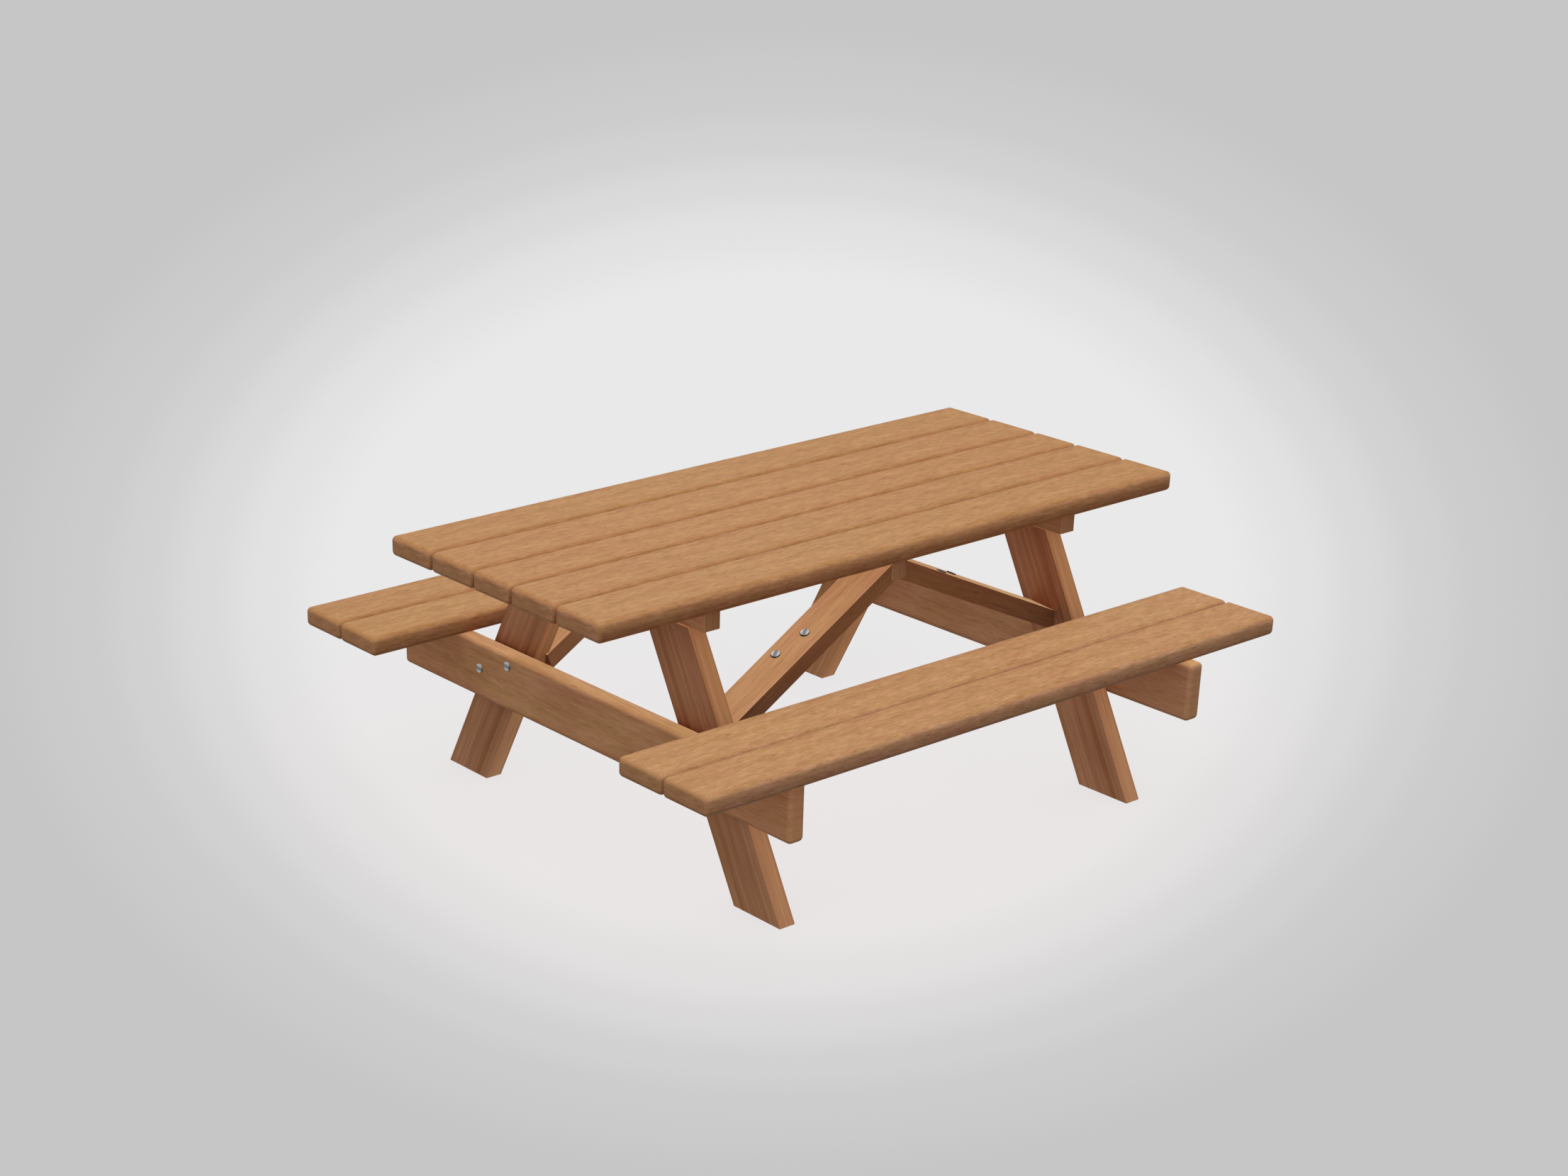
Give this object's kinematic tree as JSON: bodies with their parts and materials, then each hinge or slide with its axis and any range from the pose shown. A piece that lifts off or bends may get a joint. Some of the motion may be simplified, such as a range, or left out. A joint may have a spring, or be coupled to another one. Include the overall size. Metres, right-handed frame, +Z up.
{
  "type": "picnic table",
  "caption": "Free-standing wooden picnic table with raking legs, a slatted top, diagonal braces and a slatted bench along each long side.",
  "frame": {"origin": "centre of the whole footprint rectangle, on the ground", "axes": "+X along the length of the table, +Y towards the back bench, +Z up"},
  "size_m": [1.8072, 1.543, 0.708],
  "materials": {
    "boards": "oiled",
    "frame_timber": "oiled",
    "bolt_steel": "brushed",
    "hidden_steel": "zinc plated"
  },
  "bodies": {
    "root": {"top_board_1": "boards", "top_board_2": "boards", "top_board_3": "boards", "top_board_4": "boards", "top_board_5": "boards", "seat_board_front_outer": "boards", "seat_board_front_inner": "boards", "seat_board_back_inner": "boards", "seat_board_back_outer": "boards", "leg_front_left": "frame_timber", "leg_back_left": "frame_timber", "leg_front_right": "frame_timber", "leg_back_right": "frame_timber", "seat_beam_left": "frame_timber", "seat_beam_right": "frame_timber", "top_cleat_left": "frame_timber", "top_cleat_centre": "frame_timber", "top_cleat_right": "frame_timber", "brace_front_left": "frame_timber", "brace_back_left": "frame_timber", "brace_front_right": "frame_timber", "brace_back_right": "frame_timber", "beam_bolts": "bolt_steel", "beam_bolt_washers": "hidden_steel", "beam_bolt_nuts": "hidden_steel", "brace_bolts": "bolt_steel", "brace_bolt_washers": "hidden_steel", "brace_bolt_nuts": "hidden_steel", "top_board_screws": "hidden_steel", "leg_head_screws": "hidden_steel", "seat_dowel_screws": "hidden_steel", "brace_top_screws": "hidden_steel", "brace_foot_screws": "hidden_steel"}
  },
  "joints": []
}
